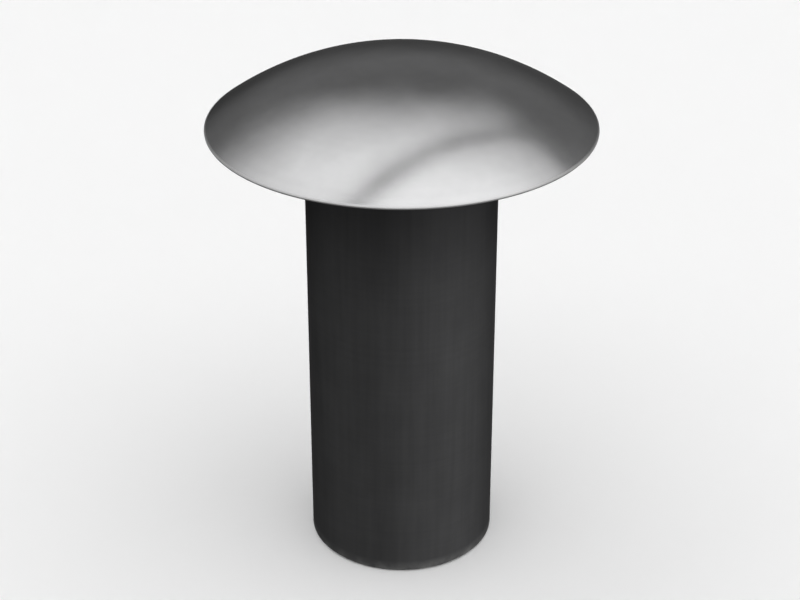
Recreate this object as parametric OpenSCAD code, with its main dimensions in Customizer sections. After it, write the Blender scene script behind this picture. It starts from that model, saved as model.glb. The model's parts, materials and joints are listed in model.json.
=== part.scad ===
// Hollow rivet: a shallow domed head and a plain shank with a blind bore, all one piece of steel.
// It stands on its open tail with its axis along Z, and z = 0 is the end face of the tail.

/* [Shank] */
// Outside diameter of the shank
shank_d = 3.5; // [3.2:0.1:4.5]
// Length of the shank, from the tail to the underside of the head
shank_length = 8.5; // [5:0.5:16]
// Width of the bevel round the outside of the tail
tail_bevel = 0.05; // [0.02:0.01:0.15]

/* [Head] */
// Diameter of the domed head
head_d = 7; // [6:0.1:9]
// Height of the head at its centre
head_h = 1.2; // [0.8:0.1:2]
// Radius that breaks the thin outer edge of the head
rim_r = 0.02; // [0.02:0.01:0.1]
// Radius of the fillet where the shank meets the head
fillet_r = 0.2; // [0.1:0.05:0.4]

/* [Bore] */
// Wall of the shank round the bore, which is blind and opens at the tail
bore_wall = 0.55; // [0.35:0.05:1]
// Length of shank left solid between the point of the bore and the head
solid_length = 0.8; // [0.3:0.1:2]
// Angle across the cone that ends the bore, in degrees
cone_angle = 118; // [90:2:140]
// Width of the bevel round the mouth of the bore
mouth_bevel = 0.1; // [0.05:0.05:0.15]

/* [Hidden] */
// Facets round a full turn in a preview
$fn = 180;

shank_r = shank_d / 2;
head_r = head_d / 2;
bore_r = shank_r - bore_wall;
cone_h = bore_r / tan(cone_angle / 2);
bore_depth = shank_length - solid_length - cone_h;

// The outline of the head is two circles above a flat underside at y = 0. The small one is the rim:
// it rests on the underside and touches the dome's circle from inside, so that one runs into the other.
rim_x = head_r - rim_r;
rim_y = rim_r;
dome_r = (pow(rim_x, 2) + pow(head_h - rim_r, 2) - pow(rim_r, 2)) / (2 * (head_h - 2 * rim_r));
dome_y = head_h - dome_r;

// The line from the dome's centre through the rim's centre ends the dome and starts the rim.
// This is its angle from the axis, and a point on it a little way outside the head.
seam_angle = atan2(rim_x, rim_y - dome_y);
seam_x = rim_x + 2 * rim_r * sin(seam_angle);
seam_y = rim_y + 2 * rim_r * cos(seam_angle);

// Half section of the dome, inside the seam line
module dome_section() {
    intersection() {
        translate([0, dome_y]) circle(r = dome_r);
        polygon([
            [0, 0],
            [rim_x, 0],
            [rim_x, rim_y],
            [seam_x, seam_y],
            [seam_x, head_h],
            [0, head_h]
        ]);
    }
}

// Half section of the rim, outside the seam line
module rim_section() {
    intersection() {
        translate([rim_x, rim_y]) circle(r = rim_r);
        polygon([
            [rim_x, 0],
            [head_r + rim_r, 0],
            [head_r + rim_r, seam_y],
            [seam_x, seam_y],
            [rim_x, rim_y]
        ]);
    }
}

// Half section of the shank, with the bevel round its tail
module shank_section() {
    polygon([
        [0, 0],
        [shank_r - tail_bevel, 0],
        [shank_r, tail_bevel],
        [shank_r, shank_length],
        [0, shank_length]
    ]);
}

// Half section of the fillet in the corner under the head
module fillet_section() {
    difference() {
        translate([shank_r, shank_length - fillet_r]) square(fillet_r);
        translate([shank_r + fillet_r, shank_length - fillet_r]) circle(r = fillet_r);
    }
}

// Half section of the bore: bevelled mouth, straight wall and drilled cone
module bore_section() {
    polygon([
        [0, 0],
        [bore_r + mouth_bevel, 0],
        [bore_r, mouth_bevel],
        [bore_r, bore_depth],
        [0, bore_depth + cone_h]
    ]);
}

module rivet() {
    color("silver")
        rotate_extrude()
            difference() {
                union() {
                    shank_section();
                    fillet_section();
                    translate([0, shank_length]) {
                        dome_section();
                        rim_section();
                    }
                }
                bore_section();
            }
}

rivet();
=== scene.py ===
import json
import math

import bpy
import numpy as np
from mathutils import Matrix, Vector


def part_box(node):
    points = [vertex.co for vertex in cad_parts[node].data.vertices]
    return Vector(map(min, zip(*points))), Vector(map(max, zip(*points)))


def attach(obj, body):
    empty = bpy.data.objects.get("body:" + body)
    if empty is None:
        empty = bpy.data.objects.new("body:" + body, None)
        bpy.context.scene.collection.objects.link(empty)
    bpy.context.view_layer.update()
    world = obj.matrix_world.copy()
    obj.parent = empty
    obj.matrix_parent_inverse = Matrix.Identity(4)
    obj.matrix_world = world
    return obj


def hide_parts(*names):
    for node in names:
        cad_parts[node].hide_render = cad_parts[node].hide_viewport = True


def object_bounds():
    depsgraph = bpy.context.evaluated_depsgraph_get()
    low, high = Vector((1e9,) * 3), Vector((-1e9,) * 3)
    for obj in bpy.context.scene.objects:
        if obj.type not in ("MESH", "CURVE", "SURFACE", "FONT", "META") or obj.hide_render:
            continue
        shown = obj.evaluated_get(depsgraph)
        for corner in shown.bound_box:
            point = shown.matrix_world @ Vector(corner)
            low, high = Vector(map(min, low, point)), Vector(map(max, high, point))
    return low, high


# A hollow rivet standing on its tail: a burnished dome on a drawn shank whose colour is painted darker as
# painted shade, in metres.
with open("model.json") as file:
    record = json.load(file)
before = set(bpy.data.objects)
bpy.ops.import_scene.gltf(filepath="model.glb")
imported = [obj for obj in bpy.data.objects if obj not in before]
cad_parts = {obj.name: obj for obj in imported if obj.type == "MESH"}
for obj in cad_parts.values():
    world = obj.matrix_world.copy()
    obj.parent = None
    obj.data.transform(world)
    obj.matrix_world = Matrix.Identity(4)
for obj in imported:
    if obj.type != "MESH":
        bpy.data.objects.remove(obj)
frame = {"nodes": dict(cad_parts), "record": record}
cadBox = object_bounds()
scene = bpy.context.scene
mounts = {mount["name"]: mount for mount in frame["record"]["mounts"]}
print("frame loaded:", ", ".join(frame["nodes"]))

cameraSetup = {
    "lens": 86.0,  # millimetres
    "sensor": 36.0,  # width, in millimetres
    "clip": (0.001, 5.0),  # the nearest and the farthest that it sees
    "distance": 0.03564,  # from the lens to the point it aims at
    "elevation": 28.6,  # degrees above the table
    "aimHeight": 0.004945,  # above the table
    "aimSide": -0.00003,  # a hair to the left of the rivet's axis
}


def addCamera(setup):
    # place = aim + distance * (0, -cos(elevation), sin(elevation)), looking along +Y and down
    lift = math.radians(setup["elevation"])
    aim = np.array([setup["aimSide"], 0.0, cadBox[0].z + setup["aimHeight"]])
    data = bpy.data.cameras.new("camera")
    data.lens = setup["lens"]
    data.sensor_width = setup["sensor"]
    data.clip_start, data.clip_end = setup["clip"]
    camera = bpy.data.objects.new("camera", data)
    camera.location = aim + setup["distance"] * np.array([0.0, -math.cos(lift), math.sin(lift)])
    camera.rotation_euler = (math.pi / 2 - lift, 0.0, 0.0)
    scene.collection.objects.link(camera)
    return camera


scene.camera = addCamera(cameraSetup)
print("camera placed")


sharpAngle = 30.0  # faces that meet at more degrees than this keep a crisp edge
onAxis = 1e-9  # a radius below this counts as being on the axis


def linePoints(start, end, steps):
    # start + t * (end - start), t from 0 to 1, as rows of (radius, height)
    t = np.linspace(0.0, 1.0, steps + 1)[:, None]
    return np.array(start) + t * (np.array(end) - np.array(start))


def arcPoints(centre, radius, start, end, steps):
    # r = centre r + R sin(a), z = centre z + R cos(a), a from start to end in degrees off straight up
    a = np.radians(np.linspace(start, end, steps + 1))
    return np.column_stack([centre[0] + radius * np.sin(a), centre[1] + radius * np.cos(a)])


def axisRows(profile):
    # which ends of the profile are on the axis: r = 0
    return [row for row in (0, len(profile) - 1) if profile[row, 0] < onAxis]


def spin(profile, segments, name):
    # (r, z) carried round the axis: (r cos u, r sin u, z) with u = 2 pi j / segments
    # a profile end on the axis closes with a fan; faces look to the left of the profile's way
    u = 2 * math.pi * np.arange(segments) / segments
    poles = axisRows(profile)
    rings = np.delete(profile, poles, axis=0)
    reach, height = rings[:, :1], np.repeat(rings[:, 1:], segments, axis=1)
    points = np.stack([reach * np.cos(u), reach * np.sin(u), height], axis=2).reshape(-1, 3)
    here = np.arange(len(points)).reshape(len(rings), segments)
    beside = np.roll(here, -1, axis=1)
    corners = np.stack([here[:-1], here[1:], beside[1:], beside[:-1]], axis=2).reshape(-1, 4)
    faces = corners.tolist()
    for row in poles:
        pole = np.full(segments, len(points))
        points = np.vstack([points, [0.0, 0.0, profile[row, 1]]])
        fan = [pole, here[0], beside[0]] if row == 0 else [here[-1], pole, beside[-1]]
        faces += np.column_stack(fan).tolist()
    mesh = bpy.data.meshes.new(name)
    mesh.from_pydata(points.tolist(), [], faces)
    mesh.polygons.foreach_set("use_smooth", np.ones(len(mesh.polygons), bool))
    mesh.set_sharp_from_angle(angle=math.radians(sharpAngle))
    piece = bpy.data.objects.new(name, mesh)
    scene.collection.objects.link(piece)
    return piece


def ringValues(mesh, name, profile, values, segments):
    # one number for each profile row, repeated round the axis, in the order that spin() puts the points
    poles = axisRows(profile)
    spread = np.concatenate([np.repeat(np.delete(values, poles), segments), values[poles]])
    mesh.attributes.new(name, "FLOAT", "POINT").data.foreach_set("value", spread.astype(np.float32))


rivetShape = {
    "segments": 288,  # steps round the axis
    "rimRadius": 0.00002,  # round on the edge of the head
    "filletRadius": 0.0002,  # in the corner under the head
    "tailBevel": 0.00005,  # break on the outer edge of the tail
    "mouthBevel": 0.0001,  # break on the mouth of the bore
    "solidLength": 0.0008,  # shank left solid between the bore's point and the head
    "pointAngle": 118.0,  # full angle of the bore's cone
    "rimWear": 0.00003,  # how far rubbing spreads from the rim
    "tailWear": 0.00009,  # how far it spreads from the tail's edge
    "paintedShadeReach": 0.0019,  # how far the painted shade spreads from the corner under the head
    "steps": {  # rows of faces along each stretch of the profile
        "dome": 96,
        "rim": 8,
        "underside": 12,
        "fillet": 10,
        "shank": 44,
        "tailEdge": 2,
        "tailFace": 4,
        "mouth": 2,
        "bore": 34,
        "point": 8,
    },
}


def rivetStretches(shape):
    # the profile's lines and arcs, as rows of (radius, height): from the top of the dome outwards,
    # round the rim, in under the head, down the shank, round the tail, and up the bore to its point
    low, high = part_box("rivet")
    underHead = mounts["under_head"]["pos_m"][2]
    shankRadius = mounts["shank"]["dims"]["r_mm"] / 1000
    boreRadius = mounts["tail_bore"]["dims"]["r_mm"] / 1000
    rim, fillet = shape["rimRadius"], shape["filletRadius"]
    tail, mouth = shape["tailBevel"], shape["mouthBevel"]
    steps = shape["steps"]
    rimReach, rise = high.x - rim, high.z - underHead
    # the dome's circle is centred on the axis and touches the rim's small circle from outside it
    domeRadius = (rimReach**2 + (rise - rim) ** 2 - rim**2) / (2 * (rise - 2 * rim))
    domeCentre = high.z - domeRadius
    seam = math.degrees(math.atan2(rimReach, underHead + rim - domeCentre))
    pointHeight = underHead - shape["solidLength"]
    boreEnd = pointHeight - boreRadius / math.tan(math.radians(shape["pointAngle"] / 2))
    lowOuter, lowInner = shankRadius - tail, boreRadius + mouth
    filletCentre = (shankRadius + fillet, underHead - fillet)
    return {
        "dome": arcPoints((0.0, domeCentre), domeRadius, 0.0, seam, steps["dome"]),
        "rim": arcPoints((rimReach, underHead + rim), rim, seam, 180.0, steps["rim"]),
        "underside": linePoints((rimReach, underHead), (filletCentre[0], underHead), steps["underside"]),
        "fillet": arcPoints(filletCentre, fillet, 0.0, -90.0, steps["fillet"]),
        "shank": linePoints((shankRadius, filletCentre[1]), (shankRadius, low.z + tail), steps["shank"]),
        "tailEdge": linePoints((shankRadius, low.z + tail), (lowOuter, low.z), steps["tailEdge"]),
        "tailFace": linePoints((lowOuter, low.z), (lowInner, low.z), steps["tailFace"]),
        "mouth": linePoints((lowInner, low.z), (boreRadius, low.z + mouth), steps["mouth"]),
        "bore": linePoints((boreRadius, low.z + mouth), (boreRadius, boreEnd), steps["bore"]),
        "point": linePoints((boreRadius, boreEnd), (0.0, pointHeight), steps["point"]),
    }


def turnRivet(shape):
    stretches = rivetStretches(shape)
    names = list(stretches)
    rows = [stretches[name][0 if name == "dome" else 1:] for name in names]
    profile = np.vstack(rows)
    zone = np.repeat(names, [len(part) for part in rows])
    piece = spin(profile, shape["segments"], "rivetTurned")

    def near(spot, reach):
        # falls from 1 at the spot to 0 over the reach: exp(-(distance / reach)^2)
        return np.exp(-(((profile - spot) / reach) ** 2).sum(axis=1))

    def middle(name):
        # the row half way along a stretch
        return stretches[name][shape["steps"][name] // 2]

    rimSpot = stretches["rim"][stretches["rim"][:, 0].argmax()]
    tailSpot, corner = middle("tailEdge"), middle("fillet")
    inside = np.isin(zone, ["mouth", "bore", "point"])
    domeOrRim = np.isin(zone, ["dome", "rim"])
    values = {
        "domeAndRim": domeOrRim.astype(float),
        "turned": np.isin(zone, ["dome", "rim", "underside", "tailFace"]).astype(float),
        "wear": ~inside * (near(rimSpot, shape["rimWear"]) + near(tailSpot, shape["tailWear"])),
        # painted shade: a mask that darkens the colour near the corner under the head, where the head
        # shades the shank
        "paintedShade": ~inside * ~domeOrRim * near(corner, shape["paintedShadeReach"]),
        "inside": inside.astype(float),
    }
    for name, value in values.items():
        ringValues(piece.data, name, profile, value, shape["segments"])
    return piece


rivet = turnRivet(rivetShape)
print("rivet turned:", len(rivet.data.polygons), "faces")

steelFinish = {
    "domeColour": (0.60, 0.60, 0.605),  # burnished by the heading tool
    "shankShadedColour": (0.25, 0.25, 0.255),  # painted shade: the same steel given a darker colour on the shank, standing in for its darker reflection
    "wornColour": (0.68, 0.68, 0.675),  # bare metal where edges rub
    "domeRoughness": 0.22,
    "shankRoughness": 0.42,
    "boreRoughness": 0.5,
    "rimRoughness": 0.7,  # worn, at the head's rim
    "tailRoughness": 0.45,  # worn, at the tail's edge
    "edgeTint": 0.33,  # how bright the surface is at a glancing angle, as a share of bare metal
    "cloudSize": 1.1,  # soft mottling, patches per millimetre
    "grainSize": 34.0,  # satin grain per millimetre
    "ringSize": 7.0,  # turned rings on the flat faces and the dome, per millimetre outwards
    "drawSize": 9.0,  # draw lines, per millimetre across the shank
    "drawStretch": 0.04,  # their scale along the shank, as a share of that
    "latheSize": 12.0,  # marks round the shank, per millimetre of height
    "latheShare": 0.35,  # how much of the lines is these marks
    "patchSize": 3.0,  # rubbed patches along the edges, per millimetre
    "cloudSpan": (0.3, 0.7),  # the part of each pattern's range that its tones are spread over
    "lineSpan": (0.25, 0.75),
    "patchSpan": (0.35, 0.6),
    "cloudTone": (0.93, 1.05),  # the darkest and the lightest, as shares of the metal's colour
    "lineTone": (0.90, 1.10),
    "ringTone": (0.985, 1.015),  # on the dome
    "patchCover": (0.25, 0.9),  # the least and the most that rubbing bares
    "paintedShadeTone": 0.58,  # how much of the colour the painted shade under the head takes away
    "lineSwing": 0.04,  # how far the lines move the roughness up and down
    "cloudSwing": 0.012,  # how far the clouds move it, on the dome
    "ringRelief": 0.12,  # height of the rings on the dome, as a share of the lines elsewhere
    "grainRelief": 0.06,  # height of the grain, as the same share
    "bumpDepth": 0.0000006,
    "bumpStrength": 0.5,
}


class NodeBench:
    # short names for adding and joining a material's nodes
    def __init__(self, tree):
        self.tree = tree

    def add(self, kind, settings=(), **inputs):
        node = self.tree.nodes.new(kind)
        for name, value in dict(settings).items():
            setattr(node, name, value)
        for name, value in inputs.items():
            self.feed(node.inputs[name], value)
        return node

    def feed(self, socket, value):
        if isinstance(value, bpy.types.NodeSocket):
            self.tree.links.new(value, socket)
        else:
            socket.default_value = value

    def math(self, operation, first, second):
        node = self.add("ShaderNodeMath", {"operation": operation})
        self.feed(node.inputs[0], first)
        self.feed(node.inputs[1], second)
        return node.outputs[0]

    def vector(self, operation, first, second=None, scale=None):
        node = self.add("ShaderNodeVectorMath", {"operation": operation})
        self.feed(node.inputs[0], first)
        if second is not None:
            self.feed(node.inputs[1], second)
        if scale is not None:
            self.feed(node.inputs["Scale"], scale)
        return node.outputs["Value" if operation == "LENGTH" else "Vector"]

    def noise(self, vector, scale, detail):
        node = self.add("ShaderNodeTexNoise", Vector=vector, Scale=scale, Detail=detail, Roughness=0.55)
        return node.outputs["Fac"]

    def ramp(self, value, start, end, low=0.0, high=1.0, smooth=False):
        # low + t * (high - low), where t goes from 0 to 1 as the value goes from start to end
        node = self.add("ShaderNodeMapRange", {"interpolation_type": "SMOOTHSTEP" if smooth else "LINEAR"})
        names = ("Value", "From Min", "From Max", "To Min", "To Max")
        for name, number in zip(names, (value, start, end, low, high)):
            self.feed(node.inputs[name], number)
        return node.outputs["Result"]

    def blend(self, share, first, second):
        # numbers: first + share * (second - first)
        node = self.add("ShaderNodeMix", {"data_type": "FLOAT"})
        for place, value in enumerate((share, first, second)):
            self.feed(node.inputs[(0, 2, 3)[place]], value)
        return node.outputs[0]

    def tint(self, share, first, second):
        # colours: first + share * (second - first)
        node = self.add("ShaderNodeMix", {"data_type": "RGBA"})
        for place, value in enumerate((share, first, second)):
            self.feed(node.inputs[(0, 6, 7)[place]], (*value, 1.0) if isinstance(value, tuple) else value)
        return node.outputs[2]


def steelMaterial(finish):
    material = bpy.data.materials.new("rivetSteel")
    material.use_nodes = True
    shader = material.node_tree.nodes["Principled BSDF"]
    bench = NodeBench(material.node_tree)
    place = bench.add("ShaderNodeTexCoord").outputs["Object"]
    millimetres = bench.vector("SCALE", place, scale=1000.0)
    flat = bench.vector("MULTIPLY", millimetres, (1.0, 1.0, 0.0))
    reach = bench.vector("LENGTH", flat)
    height = bench.add("ShaderNodeSeparateXYZ", Vector=millimetres).outputs["Z"]
    domeAndRim, turned, wear, paintedShade, inside = [
        bench.add("ShaderNodeAttribute", {"attribute_name": name}).outputs["Fac"]
        for name in ("domeAndRim", "turned", "wear", "paintedShade", "inside")
    ]
    # what varies over the metal, each from 0 to 1
    cloud = bench.noise(millimetres, finish["cloudSize"], detail=4.0)
    grain = bench.noise(millimetres, finish["grainSize"], detail=2.0)
    patches = bench.noise(millimetres, finish["patchSize"], detail=4.0)
    outwards = bench.add("ShaderNodeCombineXYZ", X=reach, Y=0.0, Z=0.0).outputs[0]
    rings = bench.noise(outwards, finish["ringSize"], detail=3.0)
    drawnOut = bench.vector("MULTIPLY", millimetres, (1.0, 1.0, finish["drawStretch"]))
    draw = bench.noise(drawnOut, finish["drawSize"], detail=3.0)
    upwards = bench.add("ShaderNodeCombineXYZ", X=height, Y=0.0, Z=0.0).outputs[0]
    lathe = bench.noise(upwards, finish["latheSize"], detail=2.0)
    lines = bench.blend(turned, bench.blend(finish["latheShare"], draw, lathe), rings)
    # colour
    mottle = bench.ramp(cloud, *finish["cloudSpan"], *finish["cloudTone"])
    drawn = bench.ramp(lines, *finish["lineSpan"], *finish["lineTone"])
    faint = bench.ramp(lines, *finish["lineSpan"], *finish["ringTone"])
    shade = bench.math("MULTIPLY", mottle, bench.blend(domeAndRim, drawn, faint))
    # painted shade: the colour is darkened near the corner under the head, where the head's shade falls
    paintedShadeCut = bench.math("MULTIPLY", paintedShade, finish["paintedShadeTone"])
    shadedUnderHead = bench.math("MULTIPLY", shade, bench.math("SUBTRACT", 1.0, paintedShadeCut))
    # painted shade: the shank, underside, tail and bore get the darker steel colour, and the dome and rim
    # get the plain one
    metal = bench.tint(domeAndRim, finish["shankShadedColour"], finish["domeColour"])
    toned = bench.vector("SCALE", metal, scale=shadedUnderHead)
    bared = bench.math("MULTIPLY", wear, bench.ramp(patches, *finish["patchSpan"], *finish["patchCover"]))
    bench.feed(shader.inputs["Base Color"], bench.tint(bared, toned, finish["wornColour"]))
    # roughness
    wall = bench.blend(inside, finish["shankRoughness"], finish["boreRoughness"])
    plain = bench.blend(domeAndRim, wall, finish["domeRoughness"])
    lineSwing = bench.ramp(lines, *finish["lineSpan"], -finish["lineSwing"], finish["lineSwing"])
    cloudSwing = bench.ramp(cloud, *finish["cloudSpan"], -finish["cloudSwing"], finish["cloudSwing"])
    steady = bench.math("ADD", plain, bench.blend(domeAndRim, lineSwing, cloudSwing))
    worn = bench.blend(domeAndRim, finish["tailRoughness"], finish["rimRoughness"])
    bench.feed(shader.inputs["Roughness"], bench.blend(wear, steady, worn))
    # relief
    ridges = bench.math("MULTIPLY", lines, bench.blend(domeAndRim, 1.0, finish["ringRelief"]))
    relief = bench.math("ADD", ridges, bench.math("MULTIPLY", grain, finish["grainRelief"]))
    bump = bench.add(
        "ShaderNodeBump", Height=relief, Strength=finish["bumpStrength"], Distance=finish["bumpDepth"]
    )
    bench.feed(shader.inputs["Normal"], bump.outputs["Normal"])
    shader.inputs["Metallic"].default_value = 1.0
    shader.inputs["Specular Tint"].default_value = (finish["edgeTint"],) * 3 + (1.0,)
    return material


rivet.data.materials.append(steelMaterial(steelFinish))
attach(rivet, "root")
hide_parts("rivet")
print("steel finished")

tableSetup = {
    "floorRadius": 0.28,
    "coveRadius": 0.12,
    "wallHeight": 0.30,
    "gap": 0.000002,  # a hair of air under the rivet
    "segments": 96,  # steps round the axis
    "wallSteps": 6,
    "coveSteps": 16,
    "floorSteps": 24,
    "colour": (0.92, 0.92, 0.92),
    "roughness": 0.9,
}


def addTable(setup):
    # a flat floor that sweeps up into a low round wall: wall, cove, floor, in to the middle
    reach, cove = setup["floorRadius"], setup["coveRadius"]
    ground = cadBox[0].z - setup["gap"]
    profile = np.vstack([
        linePoints((reach + cove, setup["wallHeight"]), (reach + cove, ground + cove), setup["wallSteps"]),
        arcPoints((reach, ground + cove), cove, 90.0, 180.0, setup["coveSteps"])[1:],
        linePoints((reach, ground), (0.0, ground), setup["floorSteps"])[1:],
    ])
    sweep = spin(profile, setup["segments"], "tableSweep")
    material = bpy.data.materials.new("paleTable")
    material.use_nodes = True
    shader = material.node_tree.nodes["Principled BSDF"]
    shader.inputs["Base Color"].default_value = (*setup["colour"], 1.0)
    shader.inputs["Roughness"].default_value = setup["roughness"]
    shader.inputs["Specular IOR Level"].default_value = 0.0
    sweep.data.materials.append(material)
    sweep.visible_glossy = False  # the steel mirrors the dim room, as it would over a dull bench


addTable(tableSetup)
print("table set")

roomSetup = {
    "levels": (  # sine of the height looked at, from straight down to straight up, and radiance there
        (-1.0, 0.14),
        (-0.5, 0.094),
        (-0.1, 0.10),
        (0.1, 0.16),
        (0.35, 0.188),
        (0.6, 0.145),
        (1.0, 0.02),
    ),
    "horizon": (0.1, -0.1),  # the sines between which the upper half gives way to the lower
    "rightLift": 2.2,  # how many times brighter the room is on the right, in the lower half
    "rightSpan": (-0.3, 0.85),  # the X between which it rises to that
    "backLift": 1.35,  # how many times brighter it is at the back, in the upper half
    "backSpan": (0.8, 0.97),  # the Y between which it rises to that
}


def addRoom(setup):
    world = bpy.data.worlds.new("dimRoom")
    world.use_nodes = True
    bench = NodeBench(world.node_tree)
    way = bench.add("ShaderNodeTexCoord").outputs["Generated"]
    parts = bench.add("ShaderNodeSeparateXYZ", Vector=way)
    levels = bench.add("ShaderNodeValToRGB", Fac=bench.ramp(parts.outputs["Z"], -1.0, 1.0))
    stops = levels.color_ramp.elements
    for sine, level in setup["levels"][1:-1]:
        stops.new((sine + 1) / 2).color = (level, level, level, 1.0)
    for end in (0, -1):
        stops[end].color = (setup["levels"][end][1],) * 3 + (1.0,)
    low = bench.ramp(parts.outputs["Z"], *setup["horizon"])
    right = bench.ramp(parts.outputs["X"], *setup["rightSpan"], 1.0, setup["rightLift"])
    back = bench.ramp(parts.outputs["Y"], *setup["backSpan"], 1.0, setup["backLift"])
    lift = bench.blend(low, back, right)
    background = world.node_tree.nodes["Background"]
    bench.feed(background.inputs["Color"], levels.outputs["Color"])
    bench.feed(background.inputs["Strength"], lift)
    world.cycles.sampling_method = "NONE"  # too even and dim a room to aim rays at
    scene.world = world


addRoom(roomSetup)

diffuserSetup = {
    "height": 0.6,  # two flat cloth diffusers overhead; every other length below is in heights
    "jointTurn": 43.8,  # way of the narrow joint between them, in degrees from +X
    "jointSide": -0.114,  # where the joint crosses the X axis
    "jointWidth": 0.084,
    "brightest": 1.36,  # radiance that the glow doesn't pass
    "front": -1.0,  # where both end towards -Y
    "side": 3.0,  # and towards -X and +X
    "bowReach": 0.5,  # how far out the bow of the bands of equal glow takes hold
    # back: where it ends towards +Y; bow: how far the bands bow back at the sides
    # glow and slope: radiance at the band through the middle, and its fall towards the back
    # dim: where it starts and ends dimming sideways, and the share left; fade: the bands between
    # which it falls to nothing; sideFade: the same along X
    "left": {
        "back": 2.2,
        "bow": 0.55,
        "glow": 1.18,
        "slope": 0.0,
        "dim": (-0.33, -1.0, 0.78),
        "fade": (0.1, 1.06),
        "sideFade": (0.44, 0.87),
    },
    "right": {
        "back": 1.3,
        "bow": -0.03,
        "glow": 1.32,
        "slope": 1.0,
        "dim": (0.3, 0.8, 0.91),
        "fade": (0.67, 0.91),
        "sideFade": (2.0, 3.0),
    },
}


def addDiffuser(setup, name, hand):
    # a four-cornered sheet at the given height; one side runs along the joint
    own, height = setup[name], setup["height"]
    turn = math.radians(setup["jointTurn"])
    beside = setup["jointSide"] + hand * setup["jointWidth"] / 2 / math.sin(turn)
    ends = np.array([setup["front"], own["back"]])
    joint = np.column_stack([beside + ends / math.tan(turn), ends])
    outer = np.column_stack([[hand * setup["side"]] * 2, ends])
    corners = np.vstack([joint, outer[::-1]]) * height
    points = np.column_stack([corners, np.full(4, height)])
    mesh = bpy.data.meshes.new(name + "Diffuser")
    mesh.from_pydata(points.tolist(), [], [(0, 1, 2, 3)])
    sheet = bpy.data.objects.new(name + "Diffuser", mesh)
    scene.collection.objects.link(sheet)
    material = bpy.data.materials.new(name + "Cloth")
    material.use_nodes = True
    material.node_tree.nodes.remove(material.node_tree.nodes["Principled BSDF"])
    bench = NodeBench(material.node_tree)
    place = bench.vector("SCALE", bench.add("ShaderNodeTexCoord").outputs["Object"], scale=1 / height)
    parts = bench.add("ShaderNodeSeparateXYZ", Vector=place)
    # s = y / (1 + bow * y * x^2 / (x^2 + reach^2))
    # radiance = min(glow - slope * s, brightest) * fade(s) * sideFade(x) * dim(x)
    square = bench.math("MULTIPLY", parts.outputs["X"], parts.outputs["X"])
    side = bench.math("DIVIDE", square, bench.math("ADD", square, setup["bowReach"] ** 2))
    bowed = bench.math("MULTIPLY", bench.math("MULTIPLY", side, parts.outputs["Y"]), own["bow"])
    band = bench.math("DIVIDE", parts.outputs["Y"], bench.math("ADD", bowed, 1.0))
    slope = bench.math("MULTIPLY", band, own["slope"])
    level = bench.math("MINIMUM", bench.math("SUBTRACT", own["glow"], slope), setup["brightest"])
    fade = bench.ramp(band, *own["fade"], 1.0, 0.0, smooth=True)
    sideFade = bench.ramp(parts.outputs["X"], *own["sideFade"], 1.0, 0.0, smooth=True)
    dimStart, dimEnd, dimmed = own["dim"]
    dim = bench.ramp(parts.outputs["X"], dimStart, dimEnd, 1.0, dimmed, smooth=True)
    spread = bench.math("MULTIPLY", sideFade, dim)
    glow = bench.math("MULTIPLY", bench.math("MULTIPLY", level, fade), spread)
    light = bench.add("ShaderNodeEmission", Strength=glow)
    # thin cloth: its glow is added to the room seen through it, so a faded edge doesn't show
    sheer = bench.add("ShaderNodeAddShader")
    bench.feed(sheer.inputs[0], light.outputs[0])
    bench.feed(sheer.inputs[1], bench.add("ShaderNodeBsdfTransparent").outputs[0])
    bench.feed(material.node_tree.nodes["Material Output"].inputs["Surface"], sheer.outputs[0])
    mesh.materials.append(material)


addDiffuser(diffuserSetup, "left", -1)
addDiffuser(diffuserSetup, "right", 1)

fillSetup = {"size": 1.2, "height": 0.7, "radiance": 0.18}


def addFill(setup):
    # lights the table only: a lamp's radiance is power / (pi * area), and steel doesn't mirror this one
    data = bpy.data.lights.new("tableFill", "AREA")
    data.shape = "SQUARE"
    data.size = setup["size"]
    data.energy = setup["radiance"] * math.pi * setup["size"] ** 2
    lamp = bpy.data.objects.new("tableFill", data)
    lamp.location = (0.0, 0.0, setup["height"])
    lamp.visible_glossy = False
    scene.collection.objects.link(lamp)


addFill(fillSetup)
print("lights set")

scene.view_settings.view_transform = "Standard"
